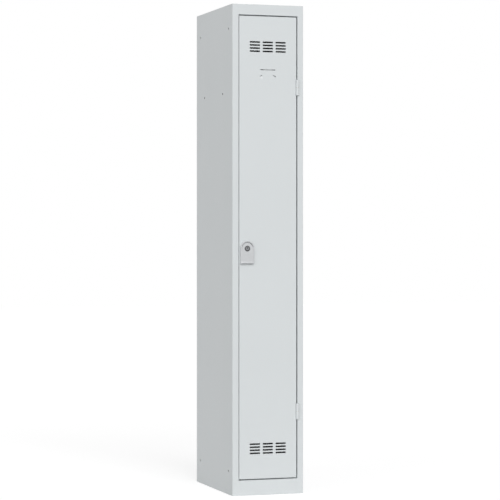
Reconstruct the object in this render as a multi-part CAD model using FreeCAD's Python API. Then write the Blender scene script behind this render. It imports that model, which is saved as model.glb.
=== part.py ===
"""Single-door metal locker, built as an assembly of folded sheet pieces.

Millimetres. +X is to the right of someone facing the door, the door faces -Y, +Z is up.
The origin is on the floor, at the centre of the carcass footprint.
"""
import FreeCAD
import Part
import math
import os

Vector = FreeCAD.Vector
ALONG_X = Vector(1, 0, 0)
ALONG_Y = Vector(0, 1, 0)
ALONG_Z = Vector(0, 0, 1)

# Carcass: outside sizes and folded sheet
WIDTH = 300.0
DEPTH = 500.0
HEIGHT = 1970.0
SHEET = 0.8
BEND_RADIUS = 1.0

# Front frame round the door, and the folds that stiffen it
LATCH_JAMB_WIDTH = 26.5
HINGE_JAMB_WIDTH = 24.3
FASCIA_HEIGHT = 42.5
PLINTH_HEIGHT = 60.7
REBATE_DEPTH = 22.5
STOP_LIP = 10.0
REAR_FLANGE = 15.0
FOOT_RETURN = 18.0
FLOOR_FLANGE = 20.0
COVER_LAP = 40.0

# Holes for bolting lockers side by side
JOIN_HOLE_RADIUS = 4.5
JOIN_FROM_EDGE = 53.0
JOIN_FROM_END = 95.0

# Hat shelf and its rivets
SHELF_TOP = 1626.0
SHELF_SETBACK = 45.0
SHELF_FLANGE = 18.0
FRONT_RIVET_FROM_FRONT = 131.0
REAR_RIVET_FROM_FRONT = 384.0
RIVET_RADIUS = 2.0
RIVET_HEAD_RADIUS = 4.6
RIVET_HEAD_HEIGHT = 1.9
RIVET_CORE_RADIUS = 1.2
RIVET_CORE_DEPTH = 1.0
RIVET_TAIL_RADIUS = 3.0
RIVET_TAIL_LENGTH = 2.6

# Coat rail, its brackets and its sliding hooks
RAIL_TALL = 30.0
RAIL_THICK = 15.0
RAIL_WALL = 1.2
RAIL_BELOW_SHELF = 62.0
RAIL_END_PAST_BRACKET = 6.0
BRACKET_SHEET = 2.0
BRACKET_WIDTH = 30.0
BRACKET_TAB = 24.0
BRACKET_FROM_SIDE = 16.0
BRACKET_BELOW_RAIL = 8.0
HOOK_REST_X = 45.0
HOOK_THICKNESS = 9.0
HOOK_EYE_WALL = 4.0
HOOK_WIRE = 5.0
HOOK_INNER_RADIUS = 8.0
HOOK_DROP = 24.0
HOOK_TIP_RISE = 7.0

# Door pan, hung closer to the jamb on the lock's side
DOOR_GAP = 4.7
LATCH_GAP = 2.1
DOOR_DEPTH = 20.0
DOOR_LIP = 12.0

# Vent slots in the door, alike at the top and the bottom
VENT_COLUMNS = 3
VENT_ROWS = 4
VENT_LENGTH = 43.0
VENT_HEIGHT = 6.3
VENT_CORNER = 1.2
VENT_COLUMN_PITCH = 54.6
VENT_ROW_PITCH = 12.25
VENT_FROM_TOP = 103.9
VENT_FROM_BOTTOM = 102.9
PRESSINGS_OFF_MIDDLE = -0.6

# Label holder pressed into the door skin
LABEL_FROM_TOP = 214.5
LABEL_SLIT_LENGTH = 64.0
LABEL_SLIT_HEIGHT = 2.2
LABEL_END_LENGTH = 13.0
LABEL_END_HEIGHT = 3.4
TONGUE_SPACING = 53.0
TONGUE_BELOW_SLIT = 28.6
TONGUE_WIDTH = 11.0
TONGUE_HEIGHT = 12.0
TONGUE_SLIT = 0.15
TONGUE_TILT = 19.0
TONGUE_TURN = 30.0

# Channel behind the door skin
STIFFENER_WIDTH = 50.0
STIFFENER_DEPTH = 14.0
STIFFENER_FOOT = 12.0
STIFFENER_BELOW_LABEL = 45.0
STIFFENER_ABOVE_VENTS = 30.0

# Welded barrel hinges
HINGE_FROM_TOP = 330.2
HINGE_FROM_FLOOR = 331.8
HINGE_LENGTH = 63.5
BARREL_RADIUS = 6.5
BARREL_PROUD = 2.0
BARREL_ROUNDING = 0.8
HINGE_FROM_DOOR = 3.9
HINGE_WASHER = 0.8
HINGE_WASHER_INSET = 0.8
HINGE_LEAF = 1.3
HINGE_LEAF_DEPTH = 17.0
HINGE_CAP = 4.0
PIN_RADIUS = 3.0
NOTCH_CLEARANCE = 0.6

# Pull plate round the lock
LOCK_FROM_DOOR_EDGE = 32.2
LOCK_HEIGHT = 990.0
GRIP_WIDTH = 57.5
GRIP_BELOW_LOCK = 58.8
GRIP_CROWN_RISE = 3.0
GRIP_PROUD = 8.5
GRIP_LIP_PROUD = 12.0
GRIP_FLARE_HEIGHT = 10.0
GRIP_WALL = 2.3
GRIP_ROUNDING = 3.6
POCKET_RIM = 5.0
POCKET_DEPTH = 3.8
POCKET_BELOW_LOCK = 20.0
GROOVE_WIDTH = 2.4
GROOVE_DEPTH = 7.3
GROOVE_ABOVE_LOCK = 6.0
FINGER_GAP_HEIGHT = 38.0
PEG_RADIUS = 2.0
PEG_LENGTH = 3.0
PEG_SPACING = 36.0
PEG_BELOW_LOCK = 14.0

# Cylinder lock
LOCK_COLLAR_RADIUS = 11.0
LOCK_COLLAR_THICKNESS = 2.6
LOCK_COLLAR_ROUNDING = 0.8
LOCK_SEAT_RADIUS = 12.0
LOCK_SEAT_PROUD = 5.2
LOCK_BARREL_RADIUS = 9.0
LOCK_BARREL_FLAT = 8.2
LOCK_WASHER_RADIUS = 13.0
LOCK_WASHER_THICKNESS = 1.0
LOCK_NUT_ACROSS_FLATS = 24.0
LOCK_NUT_THICKNESS = 5.0
PLUG_RADIUS = 6.5
PLUG_SET_BACK = 0.4
KEYWAY_WIDTH = 2.6
KEYWAY_HEIGHT = 7.0
KEYWAY_RAISE = 2.2
KEYWAY_DEPTH = 18.0
STRIKE_THICKNESS = 1.2
STRIKE_LENGTH = 60.0
CAM_CLEARANCE = 0.8
CAM_THICKNESS = 2.0
CAM_WIDTH = 16.0
CAM_REACH = 38.0
CAM_SQUARE = 7.0
CAM_SCREW_RADIUS = 2.5
CAM_SCREW_DEPTH = 9.0
CAM_SCREW_HEAD_RADIUS = 5.0
CAM_SCREW_HEAD_HEIGHT = 3.2
CAM_SCREW_SOCKET = 4.0
CAM_SCREW_SOCKET_DEPTH = 1.8

# Rubber pads between the door and the stop lip
BUFFER_RADIUS = 3.0
BUFFER_COUNT = 3

# Clearances: parts that run, parts that are slipped together, parts that only come near
RUNNING_FIT = 0.05
SLIP_FIT = 0.05
NEAR = 0.3

# Planes and places that follow from the sizes above
FRONT = -DEPTH / 2
BACK = DEPTH / 2
SIDE_INNER = WIDTH / 2 - SHEET
LATCH_JAMB = -WIDTH / 2 + LATCH_JAMB_WIDTH
HINGE_JAMB = WIDTH / 2 - HINGE_JAMB_WIDTH
STOP_FRONT = FRONT + REBATE_DEPTH
STOP_BACK = STOP_FRONT + SHEET
BACK_PANEL_FRONT = BACK - 2 * SHEET
COVER_UNDER = HEIGHT - SHEET
FASCIA_BOTTOM = HEIGHT - FASCIA_HEIGHT
FLOOR_TOP = PLINTH_HEIGHT + STOP_LIP
OUTER_BEND = BEND_RADIUS + SHEET
LATCH_FLAT = LATCH_JAMB - OUTER_BEND
HINGE_FLAT = HINGE_JAMB + OUTER_BEND

DOOR_LEFT = LATCH_JAMB + LATCH_GAP
DOOR_RIGHT = HINGE_JAMB - DOOR_GAP
DOOR_BOTTOM = PLINTH_HEIGHT + DOOR_GAP
DOOR_TOP = FASCIA_BOTTOM - DOOR_GAP
DOOR_MIDDLE = (DOOR_LEFT + DOOR_RIGHT) / 2
PRESSINGS_X = DOOR_MIDDLE + PRESSINGS_OFF_MIDDLE
DOOR_BACK = FRONT + DOOR_DEPTH
SKIN_BACK = FRONT + SHEET

HINGE_X = DOOR_RIGHT + HINGE_FROM_DOOR
HINGE_Y = FRONT - BARREL_PROUD
HINGE_HEIGHTS = {"upper": HEIGHT - HINGE_FROM_TOP, "lower": HINGE_FROM_FLOOR}

RIVET_HEIGHT = SHELF_TOP - SHELF_FLANGE / 2
RAIL_HEIGHT = SHELF_TOP - RAIL_BELOW_SHELF
BRACKET_X = SIDE_INNER - BRACKET_FROM_SIDE

LOCK_X = DOOR_LEFT + LOCK_FROM_DOOR_EDGE
GRIP_BOTTOM = LOCK_HEIGHT - GRIP_BELOW_LOCK
GRIP_CROWN = LOCK_HEIGHT + GRIP_CROWN_RISE
GRIP_TOP = GRIP_CROWN + GRIP_WIDTH / 2
FLARE_TOP = GRIP_BOTTOM + GRIP_FLARE_HEIGHT
FLARE_OUT = GRIP_LIP_PROUD - GRIP_PROUD
FLARE_RADIUS = (GRIP_FLARE_HEIGHT ** 2 + FLARE_OUT ** 2) / (2 * FLARE_OUT)
LOCK_SEAT = FRONT - LOCK_SEAT_PROUD
LOCK_FACE = LOCK_SEAT - LOCK_COLLAR_THICKNESS
CAM_FRONT = STOP_BACK + STRIKE_THICKNESS + CAM_CLEARANCE
CAM_BACK = CAM_FRONT + CAM_THICKNESS
LOCK_END = CAM_FRONT - NEAR
BUFFER_X = (DOOR_LEFT + LATCH_JAMB + STOP_LIP) / 2


def block(x_range, y_range, z_range):
    """A plain box between three pairs of planes."""
    size = [high - low for low, high in (x_range, y_range, z_range)]
    corner = Vector(x_range[0], y_range[0], z_range[0])
    return Part.makeBox(size[0], size[1], size[2], corner)


def rounded_block(x_range, y_range, z_range, radius):
    """A box with all its edges rounded."""
    body = block(x_range, y_range, z_range)
    return body.makeFillet(radius, body.Edges)


def grown(span, amount):
    """A range widened by the same amount at both ends."""
    return (span[0] - amount, span[1] + amount)


def in_xy(u, v):
    return Vector(u, v, 0)


def in_yz(u, v):
    return Vector(0, u, v)


def in_xz(u, v):
    return Vector(u, 0, v)


def polygon_face(points, place):
    """A flat face through the given corners."""
    corners = [place(u, v) for u, v in points]
    return Part.Face(Part.makePolygon(corners + corners[:1]))


def folded_face(points, sheet, place):
    """The section of a folded strip whose middle line runs through the given corners."""
    half = sheet / 2
    middle_radius = BEND_RADIUS + half
    sides = {half: [], -half: []}
    directions = []
    for (u0, v0), (u1, v1) in zip(points, points[1:]):
        length = math.hypot(u1 - u0, v1 - v0)
        directions.append(((u1 - u0) / length, (v1 - v0) / length))

    def shifted(point, direction, along, across):
        u = point[0] + direction[0] * along - direction[1] * across
        v = point[1] + direction[1] * along + direction[0] * across
        return (u, v)

    for across, edges in sides.items():
        start = shifted(points[0], directions[0], 0, across)
        for corner, before, after in zip(points[1:], directions, directions[1:]):
            turn = math.atan2(before[0] * after[1] - before[1] * after[0],
                              before[0] * after[0] + before[1] * after[1])
            setback = middle_radius * math.tan(abs(turn) / 2)
            bend_start = shifted(corner, before, -setback, across)
            bend_end = shifted(corner, after, setback, across)
            side = math.copysign(1, turn)
            centre = shifted(corner, before, -setback, side * middle_radius)
            radius = middle_radius - side * across
            reach = math.hypot(corner[0] - centre[0], corner[1] - centre[1])
            bend_middle = (centre[0] + (corner[0] - centre[0]) * radius / reach,
                           centre[1] + (corner[1] - centre[1]) * radius / reach)
            edges.append(Part.LineSegment(place(*start), place(*bend_start)).toShape())
            edges.append(Part.Arc(place(*bend_start), place(*bend_middle), place(*bend_end)).toShape())
            start = bend_end
        end = shifted(points[-1], directions[-1], 0, across)
        edges.append(Part.LineSegment(place(*start), place(*end)).toShape())

    caps = []
    for corner, direction in ((points[0], directions[0]), (points[-1], directions[-1])):
        ends = [place(*shifted(corner, direction, 0, across)) for across in (half, -half)]
        caps.append(Part.LineSegment(*ends).toShape())
    ordered = [caps[0]] + sides[half] + [caps[1]] + sides[-half][::-1]
    return Part.Face(Part.Wire(Part.__sortEdges__(ordered)))


def stadium_prism(centre, length, height, along, across, normal, depth):
    """A round-ended slot shape, extruded from its centre plane along the normal."""
    radius = height / 2
    half_run = length / 2 - radius
    left = centre - along * half_run
    right = centre + along * half_run
    edges = [
        Part.LineSegment(left + across * radius, right + across * radius).toShape(),
        Part.Arc(right + across * radius, right + along * radius, right - across * radius).toShape(),
        Part.LineSegment(right - across * radius, left - across * radius).toShape(),
        Part.Arc(left - across * radius, left - along * radius, left + across * radius).toShape(),
    ]
    return Part.Face(Part.Wire(edges)).extrude(normal * depth)


def tombstone_prism(half_width, bottom, front, back):
    """An upright plate with a round top centred a little above the lock."""
    left = LOCK_X - half_width
    right = LOCK_X + half_width
    low_left = Vector(left, front, bottom)
    low_right = Vector(right, front, bottom)
    high_left = Vector(left, front, GRIP_CROWN)
    high_right = Vector(right, front, GRIP_CROWN)
    crown = Vector(LOCK_X, front, GRIP_CROWN + half_width)
    edges = [
        Part.LineSegment(low_left, high_left).toShape(),
        Part.Arc(high_left, crown, high_right).toShape(),
        Part.LineSegment(high_right, low_right).toShape(),
        Part.LineSegment(low_right, low_left).toShape(),
    ]
    return Part.Face(Part.Wire(edges)).extrude(ALONG_Y * (back - front))


def lock_round(radius, front, back):
    """A cylinder on the lock's axis."""
    return Part.makeCylinder(radius, back - front, Vector(LOCK_X, front, LOCK_HEIGHT), ALONG_Y)


def lock_flatted(radius, half_flats, front, back):
    """A cylinder on the lock's axis with a flat down each side."""
    slab = block((LOCK_X - half_flats, LOCK_X + half_flats), (front, back),
                 (LOCK_HEIGHT - radius, LOCK_HEIGHT + radius))
    return lock_round(radius, front, back).common(slab)


def mirrored(shape):
    """The same piece for the other side of the locker."""
    return shape.mirror(Vector(0, 0, 0), ALONG_X)


def join_holes(side):
    """Cutters for the joining holes of one side, side being -1 or 1."""
    cutters = []
    for depth in (FRONT + JOIN_FROM_EDGE, BACK - JOIN_FROM_EDGE):
        for height in (JOIN_FROM_END, HEIGHT - JOIN_FROM_END):
            start = Vector(side * WIDTH / 2 - SHEET * 2, depth, height)
            cutters.append(Part.makeCylinder(JOIN_HOLE_RADIUS, SHEET * 4, start, ALONG_X))
    return cutters


def rivet_places(side):
    """Points on the outside of one side where the shelf is riveted."""
    depths = (FRONT + FRONT_RIVET_FROM_FRONT, FRONT + REAR_RIVET_FROM_FRONT)
    return [Vector(side * WIDTH / 2, depth, RIVET_HEIGHT) for depth in depths]


def rivet_holes(side):
    cutters = []
    for place in rivet_places(side):
        start = place - ALONG_X * side * SHEET * 4
        cutters.append(Part.makeCylinder(RIVET_RADIUS + SLIP_FIT, SHEET * 8, start, ALONG_X * side))
    return cutters


def hinge_notches():
    """Round cutters for the notches that the barrels sit in, in the jamb and the door edge alike."""
    length = HINGE_LENGTH + 2 * NOTCH_CLEARANCE
    cutters = []
    for height in HINGE_HEIGHTS.values():
        start = Vector(HINGE_X, HINGE_Y, height - length / 2)
        cutters.append(Part.makeCylinder(BARREL_RADIUS + NOTCH_CLEARANCE, length, start, ALONG_Z))
    return cutters


def side_panel(side):
    """Side, jamb, stop lip and rear flange folded from one sheet.

    Beside the rail and the plinth the jamb is trimmed back to its flat front, so that they meet flush.
    """
    half = SHEET / 2
    outer = -WIDTH / 2 + half
    jamb = LATCH_JAMB if side < 0 else -HINGE_JAMB
    stop = STOP_FRONT + half
    middle_line = [
        (jamb + STOP_LIP, stop),
        (jamb - half, stop),
        (jamb - half, FRONT + half),
        (outer, FRONT + half),
        (outer, BACK - half),
        (-WIDTH / 2 + REAR_FLANGE, BACK - half),
    ]
    panel = folded_face(middle_line, SHEET, in_xy).extrude(ALONG_Z * COVER_UNDER)
    lip_x = (jamb, jamb + STOP_LIP)
    lip_y = (STOP_FRONT - OUTER_BEND, STOP_BACK)
    return_x = (jamb - OUTER_BEND, jamb + STOP_LIP)
    return_y = (FRONT, STOP_BACK)
    panel = panel.cut([
        block(lip_x, lip_y, (0, FLOOR_TOP)),
        block(lip_x, lip_y, (FASCIA_BOTTOM - STOP_LIP, COVER_UNDER)),
        block(return_x, return_y, (0, PLINTH_HEIGHT - OUTER_BEND)),
        block(return_x, return_y, (FASCIA_BOTTOM + OUTER_BEND, COVER_UNDER)),
    ])
    if side > 0:
        panel = mirrored(panel).cut(hinge_notches())
    return panel.cut(join_holes(side) + rivet_holes(side))


def between_jambs(strip, z_range):
    """The strip cut to fit between the jambs' returns over a range of heights."""
    y_range = (FRONT, STOP_BACK + OUTER_BEND)
    left = block((LATCH_FLAT, LATCH_JAMB), y_range, z_range)
    right = block((HINGE_JAMB, HINGE_FLAT), y_range, z_range)
    return strip.cut([left, right])


def back_panel():
    half_width = SIDE_INNER - BEND_RADIUS
    return block((-half_width, half_width), (BACK_PANEL_FRONT, BACK - SHEET), (0, COVER_UNDER))


def top_panel():
    """Cover sheet over the sides, folded down between the jambs into the rail above the door."""
    half = SHEET / 2
    cover = block((-WIDTH / 2, WIDTH / 2), (FRONT, BACK), (COVER_UNDER, HEIGHT))
    corners = [edge for edge in cover.Edges if edge.BoundBox.ZLength > half]
    cover = cover.makeFillet(OUTER_BEND, corners)
    lap_y = (FRONT, FRONT + COVER_LAP / 2)
    cover = cover.cut(block((LATCH_FLAT, HINGE_FLAT), lap_y, (COVER_UNDER, HEIGHT)))
    middle_line = [
        (FRONT + COVER_LAP, HEIGHT - half),
        (FRONT + half, HEIGHT - half),
        (FRONT + half, FASCIA_BOTTOM + half),
        (STOP_FRONT + half, FASCIA_BOTTOM + half),
        (STOP_FRONT + half, FASCIA_BOTTOM - STOP_LIP),
    ]
    rail = folded_face(middle_line, SHEET, in_yz).extrude(ALONG_X * (HINGE_FLAT - LATCH_FLAT))
    rail.translate(ALONG_X * LATCH_FLAT)
    rail = between_jambs(rail, (FASCIA_BOTTOM - STOP_LIP, FASCIA_BOTTOM + OUTER_BEND))
    return cover.fuse(rail).removeSplitter()


def base_panel():
    """Plinth, step, locker floor and rear foot folded from one sheet, widened behind the jambs."""
    half = SHEET / 2
    rear = BACK_PANEL_FRONT - half
    middle_line = [
        (FRONT + FOOT_RETURN, half),
        (FRONT + half, half),
        (FRONT + half, PLINTH_HEIGHT - half),
        (STOP_FRONT + half, PLINTH_HEIGHT - half),
        (STOP_FRONT + half, FLOOR_TOP - half),
        (rear, FLOOR_TOP - half),
        (rear, half),
        (BACK_PANEL_FRONT - FOOT_RETURN, half),
    ]
    tread = folded_face(middle_line, SHEET, in_yz).extrude(ALONG_X * (HINGE_FLAT - LATCH_FLAT))
    tread.translate(ALONG_X * LATCH_FLAT)
    tread = between_jambs(tread, (PLINTH_HEIGHT - OUTER_BEND, FLOOR_TOP))
    across = [
        (-SIDE_INNER + half, FLOOR_TOP - FLOOR_FLANGE),
        (-SIDE_INNER + half, FLOOR_TOP - half),
        (SIDE_INNER - half, FLOOR_TOP - half),
        (SIDE_INNER - half, FLOOR_TOP - FLOOR_FLANGE),
    ]
    floor_front = STOP_BACK + OUTER_BEND
    floor_back = BACK_PANEL_FRONT - OUTER_BEND
    floor = folded_face(across, SHEET, in_xz).extrude(ALONG_Y * (floor_back - floor_front))
    floor.translate(ALONG_Y * floor_front)
    return tread.fuse(floor).removeSplitter()


def hat_shelf():
    """Tray that hangs its flanges down, riveted through the side flanges."""
    x_range = (-SIDE_INNER, SIDE_INNER)
    y_range = (FRONT + SHELF_SETBACK, BACK_PANEL_FRONT)
    z_low = SHELF_TOP - SHELF_FLANGE
    hidden = z_low - 2 * OUTER_BEND
    outer = rounded_block(x_range, y_range, (hidden, SHELF_TOP), OUTER_BEND)
    inner = rounded_block(grown(x_range, -SHEET), grown(y_range, -SHEET),
                          (hidden - SHEET, SHELF_TOP - SHEET), BEND_RADIUS)
    below = block(grown(x_range, SHEET), grown(y_range, SHEET), (hidden - SHEET, z_low))
    return outer.cut([inner, below] + rivet_holes(-1) + rivet_holes(1))


def shelf_rivet(place, side):
    """Domed blind rivet: head outside, shank through both sheets, swelled tail inside."""
    inward = ALONG_X * -side
    grip_length = 2 * SHEET
    sphere_radius = (RIVET_HEAD_RADIUS ** 2 + RIVET_HEAD_HEIGHT ** 2) / (2 * RIVET_HEAD_HEIGHT)
    ball = Part.makeSphere(sphere_radius, place + inward * (sphere_radius - RIVET_HEAD_HEIGHT))
    head = Part.makeCylinder(RIVET_HEAD_RADIUS, RIVET_HEAD_HEIGHT, place, inward * -1).common(ball)
    core_start = place - inward * (RIVET_HEAD_HEIGHT - RIVET_CORE_DEPTH)
    core = Part.makeCylinder(RIVET_CORE_RADIUS, RIVET_HEAD_HEIGHT, core_start, inward * -1)
    shank = Part.makeCylinder(RIVET_RADIUS, grip_length, place, inward)
    tail_start = place + inward * grip_length
    tail = Part.makeCylinder(RIVET_TAIL_RADIUS, RIVET_TAIL_LENGTH, tail_start, inward)
    return head.cut(core).fuse([shank, tail]).removeSplitter()


def shelf_rivets():
    return [shelf_rivet(place, side) for side in (-1, 1) for place in rivet_places(side)]


def rail_shape(margin, x_range):
    """The rail's oval section, grown by a margin, along part of the rail."""
    centre = Vector(x_range[0], 0, RAIL_HEIGHT)
    return stadium_prism(centre, RAIL_TALL + 2 * margin, RAIL_THICK + 2 * margin,
                         ALONG_Z, ALONG_Y, ALONG_X, x_range[1] - x_range[0])


def coat_rail():
    end = BRACKET_X + RAIL_END_PAST_BRACKET
    return rail_shape(0, (-end, end)).cut(rail_shape(-RAIL_WALL, (-end, end)))


def rail_bracket(side):
    """Angle under the shelf with an oval hole for the rail."""
    half = BRACKET_SHEET / 2
    seat = SHELF_TOP - SHEET
    bottom = RAIL_HEIGHT - RAIL_TALL / 2 - BRACKET_BELOW_RAIL
    middle_line = [
        (-BRACKET_X + BRACKET_TAB, seat - half),
        (-BRACKET_X, seat - half),
        (-BRACKET_X, bottom),
    ]
    bracket = folded_face(middle_line, BRACKET_SHEET, in_xz).extrude(ALONG_Y * BRACKET_WIDTH)
    bracket.translate(ALONG_Y * -BRACKET_WIDTH / 2)
    bracket = bracket.cut(rail_shape(SLIP_FIT, (-BRACKET_X - BRACKET_SHEET, -BRACKET_X + BRACKET_SHEET)))
    return bracket if side < 0 else mirrored(bracket)


def coat_hook(side):
    """Hook with an oval eye that slides along the rail and can't turn on it."""
    x_low = side * HOOK_REST_X - HOOK_THICKNESS / 2
    x_range = (x_low, x_low + HOOK_THICKNESS)
    eye = rail_shape(NEAR + HOOK_EYE_WALL, x_range).cut(rail_shape(NEAR, x_range))
    eye_bottom = RAIL_HEIGHT - RAIL_TALL / 2 - NEAR - HOOK_EYE_WALL
    bend_height = eye_bottom - HOOK_DROP
    bend_y = -HOOK_INNER_RADIUS - HOOK_WIRE / 2
    bend_centre = Vector(x_low, bend_y, bend_height)
    shank = block(x_range, (-HOOK_WIRE / 2, HOOK_WIRE / 2), (bend_height, eye_bottom + HOOK_EYE_WALL / 2))
    outer = Part.makeCylinder(HOOK_INNER_RADIUS + HOOK_WIRE, HOOK_THICKNESS, bend_centre, ALONG_X)
    inner = Part.makeCylinder(HOOK_INNER_RADIUS, HOOK_THICKNESS, bend_centre, ALONG_X)
    reach = HOOK_INNER_RADIUS + HOOK_WIRE
    upper_half = block(x_range, (bend_y - reach, bend_y + reach), (bend_height, bend_height + reach))
    bend = outer.cut([inner, upper_half])
    tip_y = 2 * bend_y
    tip_range = (tip_y - HOOK_WIRE / 2, tip_y + HOOK_WIRE / 2)
    tip = block(x_range, tip_range, (bend_height, bend_height + HOOK_TIP_RISE))
    tip_end = Part.makeCylinder(HOOK_WIRE / 2, HOOK_THICKNESS,
                                Vector(x_low, tip_y, bend_height + HOOK_TIP_RISE), ALONG_X)
    return eye.fuse([shank, bend, tip, tip_end]).removeSplitter()


def strike_plate():
    """Plate behind the stop lip, level with the lock."""
    return block((LATCH_JAMB, LATCH_JAMB + STOP_LIP), (STOP_BACK, STOP_BACK + STRIKE_THICKNESS),
                 (LOCK_HEIGHT - STRIKE_LENGTH / 2, LOCK_HEIGHT + STRIKE_LENGTH / 2))


def door_buffers():
    """Pads on the front of the stop lip, spread evenly up the door's free edge."""
    length = STOP_FRONT - DOOR_BACK - NEAR
    step = (DOOR_TOP - DOOR_BOTTOM) / (BUFFER_COUNT + 1)
    pads = []
    for index in range(BUFFER_COUNT):
        seat = Vector(BUFFER_X, STOP_FRONT, DOOR_BOTTOM + step * (index + 1))
        pads.append(Part.makeCylinder(BUFFER_RADIUS, length, seat, ALONG_Y * -1))
    return pads


def vent_slots():
    """Cutters for the two groups of vent slots."""
    y_range = (FRONT - SHEET, FRONT + SHEET * 2)
    cutters = []
    for row in range(VENT_ROWS):
        drop = row * VENT_ROW_PITCH
        for height in (DOOR_BOTTOM + VENT_FROM_BOTTOM + drop, DOOR_TOP - VENT_FROM_TOP - drop):
            for column in range(VENT_COLUMNS):
                x = PRESSINGS_X + (column - (VENT_COLUMNS - 1) / 2) * VENT_COLUMN_PITCH
                slot = block((x - VENT_LENGTH / 2, x + VENT_LENGTH / 2), y_range,
                             (height - VENT_HEIGHT / 2, height + VENT_HEIGHT / 2))
                corners = [edge for edge in slot.Edges if edge.BoundBox.YLength > SHEET]
                cutters.append(slot.makeFillet(VENT_CORNER, corners))
    return cutters


def label_slit_height():
    return DOOR_TOP - LABEL_FROM_TOP


def tongue_centre(side):
    """The middle of a tongue of the label holder, side being -1 or 1."""
    return Vector(PRESSINGS_X + side * TONGUE_SPACING / 2, FRONT, label_slit_height() - TONGUE_BELOW_SLIT)


def tongue_block(side, y_range, z_range):
    """A block as wide as a tongue, with heights measured from the tongue's middle."""
    centre = tongue_centre(side)
    x_range = (centre.x - TONGUE_WIDTH / 2, centre.x + TONGUE_WIDTH / 2)
    return block(x_range, y_range, (centre.z + z_range[0], centre.z + z_range[1]))


def label_cuts():
    """Cutters for the label holder: a slit widened at its ends, and a window for each tongue."""
    y_range = (FRONT - SHEET, FRONT + SHEET * 2)
    slit_z = label_slit_height()
    slit_x = (PRESSINGS_X - LABEL_SLIT_LENGTH / 2, PRESSINGS_X + LABEL_SLIT_LENGTH / 2)
    cutters = [block(slit_x, y_range, (slit_z - LABEL_SLIT_HEIGHT / 2, slit_z + LABEL_SLIT_HEIGHT / 2))]
    for side in (-1, 1):
        end_x = PRESSINGS_X + side * (LABEL_SLIT_LENGTH - LABEL_END_LENGTH) / 2
        cutters.append(stadium_prism(Vector(end_x, y_range[0], slit_z), LABEL_END_LENGTH, LABEL_END_HEIGHT,
                                     ALONG_X, ALONG_Z, ALONG_Y, y_range[1] - y_range[0]))
        window = tongue_block(side, y_range, (-TONGUE_HEIGHT / 2, TONGUE_HEIGHT / 2 + TONGUE_SLIT))
        window.rotate(tongue_centre(side), ALONG_Y, side * TONGUE_TURN)
        cutters.append(window)
    return cutters


def label_tongue(side):
    """Tongue bent inwards at its top, to tuck a card's lower corner behind the skin.

    It is turned on the skin, so that its free end points away from the middle of the label.
    """
    root = -TONGUE_HEIGHT / 2
    free_end = root + TONGUE_HEIGHT / math.cos(math.radians(TONGUE_TILT))
    tongue = tongue_block(side, (FRONT, SKIN_BACK), (root - SHEET, free_end))
    tongue.rotate(tongue_centre(side) + ALONG_Z * root, ALONG_X, -TONGUE_TILT)
    tongue = tongue.common(tongue_block(side, (FRONT, FRONT + TONGUE_HEIGHT), (root - SHEET, -root)))
    tongue.rotate(tongue_centre(side), ALONG_Y, side * TONGUE_TURN)
    return tongue


def peg_cutters(radius, front, back):
    """Cylinders where the pull plate's two pegs go through the door skin."""
    height = LOCK_HEIGHT - PEG_BELOW_LOCK
    places = [Vector(LOCK_X + side * PEG_SPACING / 2, front, height) for side in (-1, 1)]
    return [Part.makeCylinder(radius, back - front, place, ALONG_Y) for place in places]


def door_panel():
    """Pan with returned edges, its vents, label holder and lock holes."""
    x_range = (DOOR_LEFT, DOOR_RIGHT)
    y_range = (FRONT, DOOR_BACK)
    z_range = (DOOR_BOTTOM, DOOR_TOP)
    outer = rounded_block(x_range, y_range, z_range, OUTER_BEND)
    hollow = rounded_block(grown(x_range, -SHEET), grown(y_range, -SHEET), grown(z_range, -SHEET),
                           BEND_RADIUS)
    way_in = block(grown(x_range, -DOOR_LIP), (DOOR_BACK - DOOR_DEPTH / 2, DOOR_BACK),
                   grown(z_range, -DOOR_LIP))
    pan = outer.cut([hollow, way_in])
    skin_y = (FRONT - SHEET, FRONT + SHEET * 2)
    lock_hole = lock_flatted(LOCK_BARREL_RADIUS + SLIP_FIT, LOCK_BARREL_FLAT + SLIP_FIT, *skin_y)
    pan = pan.cut(vent_slots() + label_cuts() + hinge_notches() + [lock_hole])
    pan = pan.cut(peg_cutters(PEG_RADIUS + SLIP_FIT, *skin_y))
    return pan.fuse([label_tongue(-1), label_tongue(1)]).removeSplitter()


def door_stiffener():
    """Hat-section channel against the back of the skin, between the label holder and the lower vents."""
    half = SHEET / 2
    feet = SKIN_BACK + half
    crown = SKIN_BACK + STIFFENER_DEPTH - half
    wall = STIFFENER_WIDTH / 2 - half
    middle_line = [
        (-wall - STIFFENER_FOOT, feet),
        (-wall, feet),
        (-wall, crown),
        (wall, crown),
        (wall, feet),
        (wall + STIFFENER_FOOT, feet),
    ]
    bottom = DOOR_BOTTOM + VENT_FROM_BOTTOM + VENT_ROWS * VENT_ROW_PITCH + STIFFENER_ABOVE_VENTS
    top = DOOR_TOP - LABEL_FROM_TOP - STIFFENER_BELOW_LABEL
    channel = folded_face(middle_line, SHEET, in_xy).extrude(ALONG_Z * (top - bottom))
    channel.translate(ALONG_Z * bottom)
    return channel


def knuckle(z_range, leaf_x):
    """A barrel with rounded ends and a leaf reaching back into the gap beside the door."""
    start = Vector(HINGE_X, HINGE_Y, z_range[0])
    barrel = Part.makeCylinder(BARREL_RADIUS, z_range[1] - z_range[0], start, ALONG_Z)
    rims = [edge for edge in barrel.Edges if isinstance(edge.Curve, Part.Circle)]
    barrel = barrel.makeFillet(BARREL_ROUNDING, rims)
    leaf_z = grown(z_range, -BARREL_ROUNDING)
    leaf = block(leaf_x, (HINGE_Y, FRONT + HINGE_LEAF_DEPTH), leaf_z)
    return barrel.fuse(leaf).removeSplitter()


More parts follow.
